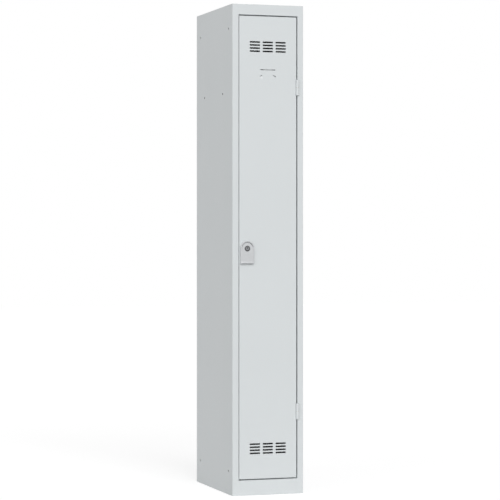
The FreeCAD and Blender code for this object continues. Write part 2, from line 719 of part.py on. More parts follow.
def hinge_pieces(name, height):
    """Frame knuckle with its pin below, washer between, door knuckle above."""
    half = HINGE_LENGTH / 2
    low = (height - half, height - HINGE_WASHER / 2)
    high = (height + HINGE_WASHER / 2, height + half)
    pin_z = (low[0] + HINGE_CAP, high[1] - HINGE_CAP - NEAR)

    def axis_rod(radius, z_range):
        start = Vector(HINGE_X, HINGE_Y, z_range[0])
        return Part.makeCylinder(radius, z_range[1] - z_range[0], start, ALONG_Z)

    frame_bore = axis_rod(PIN_RADIUS, (pin_z[0], height))
    door_bore = axis_rod(PIN_RADIUS + RUNNING_FIT, (height, high[1] - HINGE_CAP))
    ring_z = (height - HINGE_WASHER / 2, height + HINGE_WASHER / 2)
    ring = axis_rod(BARREL_RADIUS - HINGE_WASHER_INSET, ring_z)
    ring = ring.cut(axis_rod(PIN_RADIUS + RUNNING_FIT, ring_z))
    return {
        name + "_hinge_frame_knuckle": knuckle(low, (HINGE_JAMB - HINGE_LEAF, HINGE_JAMB)).cut(frame_bore),
        name + "_hinge_door_knuckle": knuckle(high, (DOOR_RIGHT, DOOR_RIGHT + HINGE_LEAF)).cut(door_bore),
        name + "_hinge_pin": axis_rod(PIN_RADIUS, pin_z),
        name + "_hinge_washer": ring,
    }


def flare_point(height, behind=0.0):
    """A point of the pull plate's face, or of a surface behind it: upright, then flaring out to the lip."""
    drop = max(FLARE_TOP - height, 0.0)
    proud = GRIP_PROUD + FLARE_RADIUS - math.sqrt((FLARE_RADIUS + behind) ** 2 - drop ** 2)
    return Vector(0, FRONT - proud, height)


def flared_section(bottom, top, behind=0.0):
    """The section between the door and the pull plate's face, or a surface behind it."""
    points = [flare_point(height, behind) for height in (bottom, (bottom + FLARE_TOP) / 2, FLARE_TOP, top)]
    low = Vector(0, FRONT, bottom)
    high = Vector(0, FRONT, top)
    edges = [
        Part.LineSegment(low, points[0]).toShape(),
        Part.Arc(points[0], points[1], points[2]).toShape(),
        Part.LineSegment(points[2], points[3]).toShape(),
        Part.LineSegment(points[3], high).toShape(),
        Part.LineSegment(high, low).toShape(),
    ]
    return Part.Face(Part.Wire(edges))


def across_grip(section, half_width):
    """A section carried across the pull plate."""
    body = section.extrude(ALONG_X * 2 * half_width)
    body.translate(ALONG_X * (LOCK_X - half_width))
    return body


def lock_pocket(half_width, far):
    """Cutters for the pocket round the lock: a floor that slopes out to the face, and a groove over it."""
    top = GRIP_CROWN + half_width
    bottom = LOCK_HEIGHT - POCKET_BELOW_LOCK
    face = FRONT - GRIP_PROUD
    slope = polygon_face([(face + POCKET_DEPTH, top), (face, bottom), (far, bottom), (far, top)], in_yz)
    pocket = across_grip(slope, half_width).common(tombstone_prism(half_width, bottom, far, FRONT))
    crown = Vector(LOCK_X, far, GRIP_CROWN)
    length = face + GROOVE_DEPTH - far
    groove = Part.makeCylinder(half_width, length, crown, ALONG_Y)
    groove = groove.cut(Part.makeCylinder(half_width - GROOVE_WIDTH, length, crown, ALONG_Y))
    above = block((LOCK_X - half_width, LOCK_X + half_width), (far, FRONT),
                  (LOCK_HEIGHT + GROOVE_ABOVE_LOCK, top))
    return [pocket, groove.common(above)]


def handle_grip():
    """Pull plate: an arched pocket round the lock, and a flared lip with a finger gap under it."""
    half_width = GRIP_WIDTH / 2
    far = FRONT - 2 * GRIP_LIP_PROUD
    plate = across_grip(flared_section(GRIP_BOTTOM, GRIP_TOP), half_width)
    plate = plate.common(tombstone_prism(half_width, GRIP_BOTTOM, far, FRONT))
    outline = [edge for edge in plate.Edges if edge.BoundBox.YMax < FRONT - GRIP_PROUD + NEAR
               and edge.BoundBox.ZLength > NEAR]
    plate = plate.makeFillet(GRIP_ROUNDING, outline)

    finger_gap = flared_section(GRIP_BOTTOM - GRIP_WALL, GRIP_BOTTOM + FINGER_GAP_HEIGHT, GRIP_WALL)
    collar_seat = lock_round(LOCK_SEAT_RADIUS, far, LOCK_SEAT)
    lock_hole = lock_flatted(LOCK_BARREL_RADIUS + SLIP_FIT, LOCK_BARREL_FLAT + SLIP_FIT, far, FRONT)
    plate = plate.cut(lock_pocket(half_width - POCKET_RIM, far) + [collar_seat, lock_hole])
    plate = plate.cut(across_grip(finger_gap, half_width - GRIP_WALL))
    pegs = peg_cutters(PEG_RADIUS, FRONT, FRONT + PEG_LENGTH)
    return plate.fuse(pegs).removeSplitter()


def lock_body():
    """Collar in front, flatted barrel through the plate and the skin, bored for the plug."""
    collar = lock_round(LOCK_COLLAR_RADIUS, LOCK_FACE, LOCK_SEAT)
    rim = [edge for edge in collar.Edges if edge.BoundBox.YMax < LOCK_SEAT]
    collar = collar.makeFillet(LOCK_COLLAR_ROUNDING, rim)
    barrel = lock_flatted(LOCK_BARREL_RADIUS, LOCK_BARREL_FLAT, LOCK_SEAT, LOCK_END)
    bore = lock_round(PLUG_RADIUS + RUNNING_FIT, LOCK_FACE, LOCK_END)
    return collar.fuse(barrel).cut(bore).removeSplitter()


def lock_washer():
    back = SKIN_BACK + LOCK_WASHER_THICKNESS
    ring = lock_round(LOCK_WASHER_RADIUS, SKIN_BACK, back)
    return ring.cut(lock_round(LOCK_BARREL_RADIUS + SLIP_FIT, SKIN_BACK, back))


def lock_nut():
    """Hexagon nut that draws the lock and the pull plate against the skin."""
    front = SKIN_BACK + LOCK_WASHER_THICKNESS
    back = front + LOCK_NUT_THICKNESS
    corner = LOCK_NUT_ACROSS_FLATS / 2 / math.cos(math.radians(30))
    angles = [math.radians(60 * index) for index in range(6)]
    points = [(LOCK_X + corner * math.cos(a), LOCK_HEIGHT + corner * math.sin(a)) for a in angles]
    nut = polygon_face(points, in_xz).extrude(ALONG_Y * LOCK_NUT_THICKNESS)
    nut.translate(ALONG_Y * front)
    return nut.cut(lock_round(LOCK_BARREL_RADIUS + SLIP_FIT, front, back))


def cam_square(half, front, back):
    """The square that keys the cam to the plug."""
    return block((LOCK_X - half, LOCK_X + half), (front, back), (LOCK_HEIGHT - half, LOCK_HEIGHT + half))


def lock_plug():
    """Turning core: keyway in front, square tail for the cam behind."""
    face = LOCK_FACE + PLUG_SET_BACK
    core = lock_round(PLUG_RADIUS, face, CAM_FRONT)
    keyway_middle = LOCK_HEIGHT + KEYWAY_RAISE
    keyway = block((LOCK_X - KEYWAY_WIDTH / 2, LOCK_X + KEYWAY_WIDTH / 2), (face, face + KEYWAY_DEPTH),
                   (keyway_middle - KEYWAY_HEIGHT / 2, keyway_middle + KEYWAY_HEIGHT / 2))
    tail = cam_square(CAM_SQUARE / 2, CAM_FRONT, CAM_BACK)
    screw_hole = lock_round(CAM_SCREW_RADIUS + SLIP_FIT, CAM_BACK - CAM_SCREW_DEPTH, CAM_BACK)
    return core.cut(keyway).fuse(tail).cut(screw_hole).removeSplitter()


def lock_cam():
    """Tongue that hangs down when unlocked and turns behind the stop lip when locked."""
    half = CAM_WIDTH / 2
    tip_height = LOCK_HEIGHT - CAM_REACH + half
    ends = lock_round(half, CAM_FRONT, CAM_BACK)
    tip = Part.makeCylinder(half, CAM_THICKNESS, Vector(LOCK_X, CAM_FRONT, tip_height), ALONG_Y)
    bar = block((LOCK_X - half, LOCK_X + half), (CAM_FRONT, CAM_BACK), (tip_height, LOCK_HEIGHT))
    tongue = ends.fuse([tip, bar]).removeSplitter()
    return tongue.cut(cam_square(CAM_SQUARE / 2 + SLIP_FIT, CAM_FRONT, CAM_BACK))


def cam_screw():
    """Socket-head screw that holds the cam on the plug."""
    head_end = CAM_BACK + CAM_SCREW_HEAD_HEIGHT
    head = lock_round(CAM_SCREW_HEAD_RADIUS, CAM_BACK, head_end)
    shank = lock_round(CAM_SCREW_RADIUS, CAM_BACK - CAM_SCREW_DEPTH + NEAR, CAM_BACK)
    socket = cam_square(CAM_SCREW_SOCKET / 2, head_end - CAM_SCREW_SOCKET_DEPTH, head_end)
    return head.cut(socket).fuse(shank).removeSplitter()


def all_pieces():
    """Every piece by its name; a list holds identical pieces that share a name."""
    pieces = {
        "left_side_panel": side_panel(-1),
        "right_side_panel": side_panel(1),
        "back_panel": back_panel(),
        "top_panel": top_panel(),
        "base_panel": base_panel(),
        "hat_shelf": hat_shelf(),
        "shelf_rivets": shelf_rivets(),
        "coat_rail": coat_rail(),
        "left_rail_bracket": rail_bracket(-1),
        "right_rail_bracket": rail_bracket(1),
        "left_coat_hook": coat_hook(-1),
        "right_coat_hook": coat_hook(1),
        "strike_plate": strike_plate(),
        "door_buffers": door_buffers(),
        "door_panel": door_panel(),
        "door_stiffener": door_stiffener(),
        "handle_grip": handle_grip(),
        "lock_body": lock_body(),
        "lock_washer": lock_washer(),
        "lock_nut": lock_nut(),
        "lock_plug": lock_plug(),
        "lock_cam": lock_cam(),
        "cam_screw": cam_screw(),
    }
    for name, height in HINGE_HEIGHTS.items():
        pieces.update(hinge_pieces(name, height))
    return pieces


os.makedirs("parts", exist_ok=True)
for node, shape in all_pieces().items():
    solid = Part.makeCompound(shape) if isinstance(shape, list) else shape
    solid.exportStep(os.path.join("parts", node + ".step"))
    print(node, "solids", len(solid.Solids), "volume", round(solid.Volume), "valid", solid.isValid())
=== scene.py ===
# %% [markdown]
# # A single-door metal locker
# The locker is folded from thin steel sheet and powder coated light grey. Its pieces come from the packed
# model at their real size, in metres: the door faces -Y, +X is to its right and +Z is up. This lesson sets
# the camera and the light, gives every piece its finish, and models the small moulded and turned pieces.

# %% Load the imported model
import bmesh
import bpy
import math
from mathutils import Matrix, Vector


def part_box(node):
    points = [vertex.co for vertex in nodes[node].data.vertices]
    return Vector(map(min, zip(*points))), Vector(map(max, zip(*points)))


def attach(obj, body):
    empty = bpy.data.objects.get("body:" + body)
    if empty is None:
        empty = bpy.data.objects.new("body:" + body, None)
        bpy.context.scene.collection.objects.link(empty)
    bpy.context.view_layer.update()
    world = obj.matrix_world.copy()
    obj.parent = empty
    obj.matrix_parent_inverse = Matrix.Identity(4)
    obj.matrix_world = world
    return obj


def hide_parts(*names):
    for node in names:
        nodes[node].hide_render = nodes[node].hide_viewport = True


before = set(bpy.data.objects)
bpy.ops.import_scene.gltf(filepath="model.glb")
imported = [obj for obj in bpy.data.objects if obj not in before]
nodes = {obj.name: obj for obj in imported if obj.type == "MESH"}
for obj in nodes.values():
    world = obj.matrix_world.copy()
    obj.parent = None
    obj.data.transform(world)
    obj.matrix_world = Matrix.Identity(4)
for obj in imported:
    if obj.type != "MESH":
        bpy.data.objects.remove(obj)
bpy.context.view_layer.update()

print("pieces in the frame:", len(nodes))

# %% [markdown]
# ## Camera
# The picture shows upright edges that stay parallel, so the camera is level and its frame is shifted a little
# instead of being tilted. It stands well back, to the left of the door, behind a long lens. Its place was
# worked out from where the corners of the locker fall in the picture.

# %% Place the camera
CAMERA_PLACE = (-2.5437, -7.7793, 1.0445)
CAMERA_TURN = math.radians(18.145)
CAMERA_LENS = 142.28
CAMERA_SHIFT = -0.0301

camera_data = bpy.data.cameras.new("camera")
camera_data.lens = CAMERA_LENS
camera_data.shift_y = CAMERA_SHIFT
camera_data.dof.use_dof = False
camera = bpy.data.objects.new("camera", camera_data)
camera.location = CAMERA_PLACE
camera.rotation_euler = (math.radians(90), 0, -CAMERA_TURN)
bpy.context.scene.collection.objects.link(camera)
bpy.context.scene.camera = camera
bpy.context.scene.view_settings.view_transform = "Standard"
print("camera", round(Vector(CAMERA_PLACE).length, 2), "m from the locker's foot")

# %% [markdown]
# ## Room
# The locker stands in a white room. The room lights it evenly from all round, at less than half of the whole
# light, and looks plain white to the camera and in reflections. A Light Path node tells these rays apart, so
# the background is white without any more light on the object.

# %% White room
ROOM_LIGHT = 0.405


def seen_directly(tree):
    """A socket that is 1 for rays that see a surface as a background: camera, mirror and glass rays."""
    path = tree.nodes.new("ShaderNodeLightPath")
    total = path.outputs["Is Camera Ray"]
    for name in ("Is Glossy Ray", "Is Transmission Ray"):
        either = tree.nodes.new("ShaderNodeMath")
        either.operation = "MAXIMUM"
        tree.links.new(total, either.inputs[0])
        tree.links.new(path.outputs[name], either.inputs[1])
        total = either.outputs[0]
    return total


world = bpy.data.worlds.new("white_room")
bpy.context.scene.world = world
world.use_nodes = True
room = world.node_tree
background = room.nodes["Background"]
background.inputs["Color"].default_value = (1, 1, 1, 1)
strength = room.nodes.new("ShaderNodeMapRange")
strength.inputs["To Min"].default_value = ROOM_LIGHT
strength.inputs["To Max"].default_value = 1.0
room.links.new(seen_directly(room), strength.inputs["Value"])
room.links.new(strength.outputs["Result"], background.inputs["Strength"])
print("room light", ROOM_LIGHT)

# %% [markdown]
# ## Lamps
# A studio lights such a tall box with two large soft boxes. One hangs high in front: it brightens what faces
# up and throws the soft shadow under the grip's lip. The other stands low to the left, so that the side is
# lit too, but less than the door. Sun lamps with a wide angle give the same even light over the whole height.

# %% Two soft lamps
LAMPS = {
    "high_front_lamp": {"from": (0.0, -0.83, 0.56), "strength": 1.40, "spread": 30},
    "left_front_lamp": {"from": (-0.74, -0.62, 0.26), "strength": 0.65, "spread": 50},
}

for name, lamp in LAMPS.items():
    lamp_data = bpy.data.lights.new(name, "SUN")
    lamp_data.energy = lamp["strength"]
    lamp_data.angle = math.radians(lamp["spread"])
    lamp_object = bpy.data.objects.new(name, lamp_data)
    lamp_object.rotation_euler = Vector(lamp["from"]).to_track_quat("Z", "Y").to_euler()
    bpy.context.scene.collection.objects.link(lamp_object)
    print(name, "strength", lamp["strength"])

# %% [markdown]
# ## Floor
# The floor is a large pale sheet. It throws the lamps' light back up at the locker, and it keeps the locker's
# shadow. To the camera it is a darker sheet that glows, so that away from the shadow it is as white as the
# room and the shadow itself stays soft. The same Light Path switch as the room's chooses between the two.

# %% White floor
FLOOR_SIZE = 40.0
FLOOR_COLOUR = 0.8
FLOOR_SEEN_COLOUR = 0.4
FLOOR_GLOW = 0.73
FLOOR_ROUGHNESS = 0.9

bpy.ops.object.select_all(action="DESELECT")
bpy.ops.mesh.primitive_plane_add(size=FLOOR_SIZE)
floor = bpy.context.object
floor.name = "floor"
floor_paint = bpy.data.materials.new("white_floor")
floor_paint.use_nodes = True
floor_tree = floor_paint.node_tree
floor_surface = floor_tree.nodes["Principled BSDF"]
shade = floor_tree.nodes.new("ShaderNodeMapRange")
shade.inputs["To Min"].default_value = FLOOR_COLOUR
shade.inputs["To Max"].default_value = FLOOR_SEEN_COLOUR
floor_tree.links.new(seen_directly(floor_tree), shade.inputs["Value"])
floor_tree.links.new(shade.outputs["Result"], floor_surface.inputs["Base Color"])
floor_surface.inputs["Roughness"].default_value = FLOOR_ROUGHNESS
floor_surface.inputs["Specular IOR Level"].default_value = 0.0
floor_surface.inputs["Emission Color"].default_value = (1, 1, 1, 1)
glow = floor_tree.nodes.new("ShaderNodeMapRange")
glow.inputs["To Min"].default_value = 0.0
glow.inputs["To Max"].default_value = FLOOR_GLOW
floor_tree.links.new(seen_directly(floor_tree), glow.inputs["Value"])
floor_tree.links.new(glow.outputs["Result"], floor_surface.inputs["Emission Strength"])
floor.data.materials.append(floor_paint)
print("floor", FLOOR_SIZE, "m wide")

# %% [markdown]
# ## Tools for finishes
# Every finish here is a Principled surface whose colour, roughness and relief vary a little, as they do on
# real paint, plastic and metal. The pattern behind that is noise on each piece's own coordinates, so it stays
# on the piece when the door opens. A few helpers keep each finish short.

# %% Helpers for finishes
PATTERN_LOW = 0.3
PATTERN_HIGH = 0.7


def written(red, green, blue):
    """A screen colour, 0 to 255, as the linear colour that a shader works with."""
    return [((value / 255 + 0.055) / 1.055) ** 2.4 for value in (red, green, blue)] + [1.0]


def new_finish(name):
    """A new material, its node tree and its Principled surface."""
    finish = bpy.data.materials.new(name)
    finish.use_nodes = True
    return finish, finish.node_tree, finish.node_tree.nodes["Principled BSDF"]


def placed(tree, centre=(0, 0, 0), stretch=(1, 1, 1)):
    """The piece's own coordinates, measured from a centre and stretched along each axis."""
    own = tree.nodes.new("ShaderNodeTexCoord")
    mapping = tree.nodes.new("ShaderNodeMapping")
    mapping.inputs["Location"].default_value = [-c * s for c, s in zip(centre, stretch)]
    mapping.inputs["Scale"].default_value = stretch
    tree.links.new(own.outputs["Object"], mapping.inputs["Vector"])
    return mapping.outputs["Vector"]


def mottle(tree, features, detail=2.0, stretch=(1, 1, 1)):
    """A soft random pattern with about so many features in a metre."""
    noise = tree.nodes.new("ShaderNodeTexNoise")
    noise.inputs["Scale"].default_value = features
    noise.inputs["Detail"].default_value = detail
    tree.links.new(placed(tree, stretch=stretch), noise.inputs["Vector"])
    return noise.outputs["Fac"]


def vary_colour(tree, surface, pattern, dark, light):
    """Colours the surface from dark to light as the pattern goes from low to high."""
    ramp = tree.nodes.new("ShaderNodeValToRGB")
    ramp.color_ramp.elements[0].position = PATTERN_LOW
    ramp.color_ramp.elements[0].color = dark
    ramp.color_ramp.elements[1].position = PATTERN_HIGH
    ramp.color_ramp.elements[1].color = light
    tree.links.new(pattern, ramp.inputs["Fac"])
    tree.links.new(ramp.outputs["Color"], surface.inputs["Base Color"])


def vary_roughness(tree, surface, pattern, smooth, rough):
    """Makes the surface smoother or rougher as the pattern goes from low to high."""
    spread = tree.nodes.new("ShaderNodeMapRange")
    spread.inputs["From Min"].default_value = PATTERN_LOW
    spread.inputs["From Max"].default_value = PATTERN_HIGH
    spread.inputs["To Min"].default_value = smooth
    spread.inputs["To Max"].default_value = rough
    tree.links.new(pattern, spread.inputs["Value"])
    tree.links.new(spread.outputs["Result"], surface.inputs["Roughness"])


def add_relief(tree, surface, pattern, depth):
    """Raises the surface by up to the depth, in metres, where the pattern is high, over earlier relief."""
    bump = tree.nodes.new("ShaderNodeBump")
    bump.inputs["Distance"].default_value = depth
    bump.inputs["Strength"].default_value = 1.0
    for earlier in surface.inputs["Normal"].links:
        tree.links.new(earlier.from_socket, bump.inputs["Normal"])
    tree.links.new(pattern, bump.inputs["Height"])
    tree.links.new(bump.outputs["Normal"], surface.inputs["Normal"])


def give(finish, *names):
    """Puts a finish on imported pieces."""
    for name in names:
        for slot in nodes[name].material_slots:
            slot.material = finish
    print(finish.name, "on", len(names), "pieces")


# %% [markdown]
# ## Powder coat
# All the folded sheet is sprayed with light grey powder and baked. The coat is satin, almost even in tone,
# and has a fine orange-peel skin that shows only in the gloss. Noise at three scales does this: wide and
# faint for the tone, middling for the gloss, and about a millimetre for the skin.

# %% Powder coat on the sheet pieces
powder_coat, tree, surface = new_finish("light_grey_powder_coat")
vary_colour(
    tree, surface, mottle(tree, features=2.5, detail=3.0),
    dark=written(213.6, 218, 219.4), light=written(215.6, 220, 221.4),
)
vary_roughness(tree, surface, mottle(tree, features=60, detail=2.0), smooth=0.40, rough=0.48)
add_relief(tree, surface, mottle(tree, features=700, detail=1.0), depth=0.00003)
give(
    powder_coat,
    "left_side_panel", "right_side_panel", "back_panel", "top_panel", "base_panel", "hat_shelf",
    "door_panel", "door_stiffener", "upper_hinge_frame_knuckle", "lower_hinge_frame_knuckle",
    "upper_hinge_door_knuckle", "lower_hinge_door_knuckle",
)

# %% [markdown]
# ## Grip plastic
# The pull plate round the lock is moulded from grey plastic, a shade darker than the paint. Its mould was
# etched with a fine grain, so the gloss is broken up.

# %% Grained grey plastic
grip_plastic, tree, surface = new_finish("grained_grey_plastic")
vary_colour(
    tree, surface, mottle(tree, features=120, detail=2.0),
    dark=written(199, 201, 203), light=written(202, 204, 206),
)
vary_roughness(tree, surface, mottle(tree, features=900, detail=1.0), smooth=0.27, rough=0.34)
add_relief(tree, surface, mottle(tree, features=2600, detail=1.0), depth=0.000006)
give(grip_plastic, "handle_grip")

# %% [markdown]
# ## Lock metal
# The lock is die cast and plated in satin nickel, dark on the housing and paler on the core that the key
# turns. Both faces were turned, which leaves fine rings round the axis. A wave pattern of rings round the
# lock's own axis gives them to the relief, and one function makes the finish in both tones.

# %% Turned nickel
RING_PITCH = 0.0005
WAVE_RADIANS = 20

plug_low, plug_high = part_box("lock_plug")
LOCK_X = (plug_low.x + plug_high.x) / 2
LOCK_Z = (plug_low.z + plug_high.z) / 2
DOOR_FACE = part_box("door_panel")[0].y


def turned_rings(tree, pitch, centre):
    """Rings round an axis along Y, one for each pitch in metres. A wave turns WAVE_RADIANS in a unit."""
    wave = tree.nodes.new("ShaderNodeTexWave")
    wave.wave_type = "RINGS"
    wave.rings_direction = "Y"
    wave.inputs["Scale"].default_value = math.tau / WAVE_RADIANS / pitch
    tree.links.new(placed(tree, centre), wave.inputs["Vector"])
    return wave.outputs["Fac"]


def turned_nickel(name, dark, light):
    """Satin nickel with turning marks round the lock's axis."""
    finish, tree, surface = new_finish(name)
    surface.inputs["Metallic"].default_value = 1.0
    vary_colour(tree, surface, mottle(tree, features=300, detail=2.0), dark, light)
    vary_roughness(tree, surface, mottle(tree, features=700, detail=2.0), smooth=0.30, rough=0.42)
    add_relief(tree, surface, turned_rings(tree, RING_PITCH, (LOCK_X, 0, LOCK_Z)), depth=0.00001)
    return finish


lock_nickel = turned_nickel("dark_satin_nickel", written(90, 91, 93), written(106, 107, 109))
core_nickel = turned_nickel("pale_satin_nickel", written(132, 133, 135), written(148, 149, 151))
give(lock_nickel, "lock_body")
give(core_nickel, "lock_plug")

# %% [markdown]
# ## Zinc-plated steel
# The nut, the cam, its screw, the washer behind the skin, the hinge pins, the rail's brackets and the strike
# plate are bare steel with a zinc plate. Zinc is a mottled cool grey with a half-dull shine. The rivets are
# steel too, but dull and dark.

# %% Zinc plate and dark rivet steel
zinc_plate, tree, surface = new_finish("mottled_zinc_plate")
surface.inputs["Metallic"].default_value = 1.0
vary_colour(
    tree, surface, mottle(tree, features=260, detail=3.0),
    dark=written(164, 167, 170), light=written(180, 182, 184),
)
vary_roughness(tree, surface, mottle(tree, features=420, detail=2.0), smooth=0.32, rough=0.48)
add_relief(tree, surface, mottle(tree, features=1500, detail=2.0), depth=0.00001)
give(
    zinc_plate,
    "lock_washer", "lock_nut", "lock_cam", "cam_screw", "upper_hinge_pin", "lower_hinge_pin",
    "left_rail_bracket", "right_rail_bracket", "strike_plate",
)

rivet_steel, tree, surface = new_finish("dull_rivet_steel")
surface.inputs["Metallic"].default_value = 1.0
vary_colour(
    tree, surface, mottle(tree, features=500, detail=3.0),
    dark=written(108, 109, 111), light=written(126, 127, 129),
)
vary_roughness(tree, surface, mottle(tree, features=800, detail=2.0), smooth=0.42, rough=0.55)
add_relief(tree, surface, mottle(tree, features=1800, detail=2.0), depth=0.00002)
give(rivet_steel, "shelf_rivets")

# %% [markdown]
# ## Chrome, brass, black plastic and rubber
# Inside, the oval coat rail is polished chrome with faint smudges and fine marks along its length, where the
# hooks slide. The washers between the hinge knuckles are brass with a pale nickel plate that is worn warm.
# The hooks are black moulded plastic, and the pads that the door closes on are matt rubber.

# %% Finishes of the inside pieces
rail_chrome, tree, surface = new_finish("polished_rail_chrome")
surface.inputs["Metallic"].default_value = 1.0
vary_colour(
    tree, surface, mottle(tree, features=40, detail=2.0),
    dark=written(222, 224, 226), light=written(228, 230, 231),
)
vary_roughness(tree, surface, mottle(tree, features=35, detail=3.0), smooth=0.06, rough=0.16)
lengthwise_marks = mottle(tree, features=1200, detail=1.0, stretch=(0.02, 1, 1))
add_relief(tree, surface, lengthwise_marks, depth=0.000004)
give(rail_chrome, "coat_rail")

hinge_brass, tree, surface = new_finish("plated_brass")
surface.inputs["Metallic"].default_value = 1.0
vary_colour(
    tree, surface, mottle(tree, features=400, detail=2.0),
    dark=written(186, 180, 166), light=written(202, 198, 188),
)
vary_roughness(tree, surface, mottle(tree, features=900, detail=2.0), smooth=0.25, rough=0.40)
give(hinge_brass, "upper_hinge_washer", "lower_hinge_washer")

hook_plastic, tree, surface = new_finish("black_hook_plastic")
vary_colour(
    tree, surface, mottle(tree, features=200, detail=2.0),
    dark=written(38, 38, 40), light=written(46, 46, 48),
)
vary_roughness(tree, surface, mottle(tree, features=700, detail=1.0), smooth=0.35, rough=0.48)
add_relief(tree, surface, mottle(tree, features=2200, detail=1.0), depth=0.00002)
give(hook_plastic, "left_coat_hook", "right_coat_hook")

buffer_rubber, tree, surface = new_finish("matt_black_rubber")
vary_colour(
    tree, surface, mottle(tree, features=300, detail=2.0),
    dark=written(34, 34, 34), light=written(44, 44, 44),
)
vary_roughness(tree, surface, mottle(tree, features=900, detail=1.0), smooth=0.70, rough=0.85)
add_relief(tree, surface, mottle(tree, features=1600, detail=2.0), depth=0.00003)
give(buffer_rubber, "door_buffers")

# %% [markdown]
# ## Tools for modelling
# The moulded and turned pieces are modelled as by hand: a primitive, then edit-mode operators on faces and
# edges that are chosen by their place. One helper enters edit mode on a new primitive once its place has been
# applied, so that its corners are in the locker's own coordinates. Another selects what passes a test.

# %% Helpers for modelling
MERGE_DISTANCE = 0.00001
SMOOTH_BELOW = math.radians(32)


def start_editing(name):
    """Names the primitive that was just added, applies its place and enters edit mode."""
    piece = bpy.context.object
    piece.name = name
    bpy.ops.object.transform_apply(location=True, rotation=True, scale=True)
    bpy.ops.object.mode_set(mode="EDIT")
    bpy.ops.mesh.select_all(action="SELECT")
    return piece


def choose(piece, kind, test):
    """Selects the corners, edges or faces of a piece in edit mode whose corners all pass the test."""
    bpy.ops.mesh.select_mode(type=kind)
    bpy.ops.mesh.select_all(action="DESELECT")
    shape = bmesh.from_edit_mesh(piece.data)
    for item in {"VERT": shape.verts, "EDGE": shape.edges, "FACE": shape.faces}[kind]:
        corners = [item.co] if kind == "VERT" else [corner.co for corner in item.verts]
        item.select_set(all(test(corner) for corner in corners))
    shape.select_flush_mode()
    bmesh.update_edit_mesh(piece.data)


def pull(x=0.0, y=0.0, z=0.0):
    """Extrudes what is selected by a distance along each axis."""
    bpy.ops.mesh.extrude_region_move(TRANSFORM_OT_translate={"value": (x, y, z)})


def tip(angle, centre):
    """Turns what is selected about a line along X."""
    bpy.ops.transform.rotate(value=angle, orient_axis="X", center_override=centre)


def round_off(radius, steps):
    """Rounds the selected edges."""
    bpy.ops.mesh.bevel(offset=radius, segments=steps, affect="EDGES", clamp_overlap=True)


def leave_editing():
    """Closes the seams, turns the faces outwards and goes back to object mode."""
    bpy.ops.mesh.select_mode(type="VERT")
    bpy.ops.mesh.select_all(action="SELECT")
    bpy.ops.mesh.remove_doubles(threshold=MERGE_DISTANCE)
    bpy.ops.mesh.normals_make_consistent(inside=False)
    bpy.ops.object.mode_set(mode="OBJECT")


def combine(piece, tool, way):
    """Adds another piece to this one, or cuts it away, and removes the other."""
    bpy.ops.object.select_all(action="DESELECT")
    bpy.context.view_layer.objects.active = piece
    piece.select_set(True)
    bpy.ops.object.modifier_add(type="BOOLEAN")
    step = piece.modifiers[-1]
    step.operation = way
    step.object = tool
    bpy.ops.object.modifier_apply(modifier=step.name)
    piece.select_set(False)
    tool.select_set(True)
    bpy.ops.object.delete()


def put_on(piece, body, slot, finish, *replaced):
    """Finishes a piece: smooth shading, its material and the body that it moves with; it hides the imported
    pieces that it replaces.
    """
    bpy.ops.object.select_all(action="DESELECT")
    bpy.context.view_layer.objects.active = piece
    piece.select_set(True)
    bpy.ops.object.shade_smooth_by_angle(angle=SMOOTH_BELOW)
    piece.data.materials.clear()
    piece.data.materials.append(finish)
    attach(piece, body)
    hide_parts(*replaced)
    print(piece.name, "on", body, "with", len(piece.data.polygons), "faces")


# %% [markdown]
# ## Pull plate
# The pull plate is one plastic moulding: an upright plate with a round top, a pocket round the lock, and a
# face that flares out to a lip, so that fingertips reach in under it. It could be carved by booleans from a
# block, but hand modelling gives cleaner roundings: half a disc is drawn down into the outline, pulled out
# from the door, and the lower rows are moved out along an arc.

# %% Outline and flare of the pull plate
GRIP_PROUD = 0.0085
FLARE_HEIGHT = 0.010
FLARE_ROWS = 10
POCKET_RIM = 0.005
POCKET_BELOW_LOCK = 0.020
CROWN_SIDES = 96
CLOSE = 0.0003
VERY_CLOSE = CLOSE / 10

grip_low, grip_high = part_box("handle_grip")
half_width = (grip_high.x - grip_low.x) / 2
crown_z = grip_high.z - half_width
flare_z = grip_low.z + FLARE_HEIGHT
pocket_z = LOCK_Z - POCKET_BELOW_LOCK
face_y = DOOR_FACE - GRIP_PROUD
flare_out = face_y - grip_low.y
flare_radius = (FLARE_HEIGHT ** 2 + flare_out ** 2) / (2 * flare_out)

bpy.ops.object.select_all(action="DESELECT")
bpy.ops.mesh.primitive_circle_add(
    vertices=CROWN_SIDES, radius=half_width, fill_type="NGON",
    location=(LOCK_X, DOOR_FACE, crown_z), rotation=(math.pi / 2, 0, 0),
)
plate = start_editing("pull_plate")
bpy.ops.mesh.bisect(plane_co=(LOCK_X, DOOR_FACE, crown_z), plane_no=(0, 0, 1), clear_inner=True)
choose(plate, "EDGE", lambda c: abs(c.z - crown_z) < VERY_CLOSE)
pull(z=pocket_z - POCKET_RIM - crown_z)
pull(z=flare_z - pocket_z + POCKET_RIM)
for row in range(FLARE_ROWS):
    pull(z=-FLARE_HEIGHT / FLARE_ROWS)
bpy.ops.mesh.select_mode(type="FACE")
bpy.ops.mesh.select_all(action="SELECT")
pull(y=-GRIP_PROUD)
bpy.ops.mesh.select_all(action="SELECT")
bpy.ops.mesh.normals_make_consistent(inside=False)
for row in range(1, FLARE_ROWS + 1):
    drop = FLARE_HEIGHT * row / FLARE_ROWS
    choose(plate, "VERT", lambda c: c.y < face_y + CLOSE and abs(c.z - flare_z + drop) < CLOSE)
    bpy.ops.transform.translate(value=(0, math.sqrt(flare_radius ** 2 - drop ** 2) - flare_radius, 0))
print("pull plate", round(half_width * 2, 4), "m wide, its lip", round(DOOR_FACE - grip_low.y, 4), "m proud")

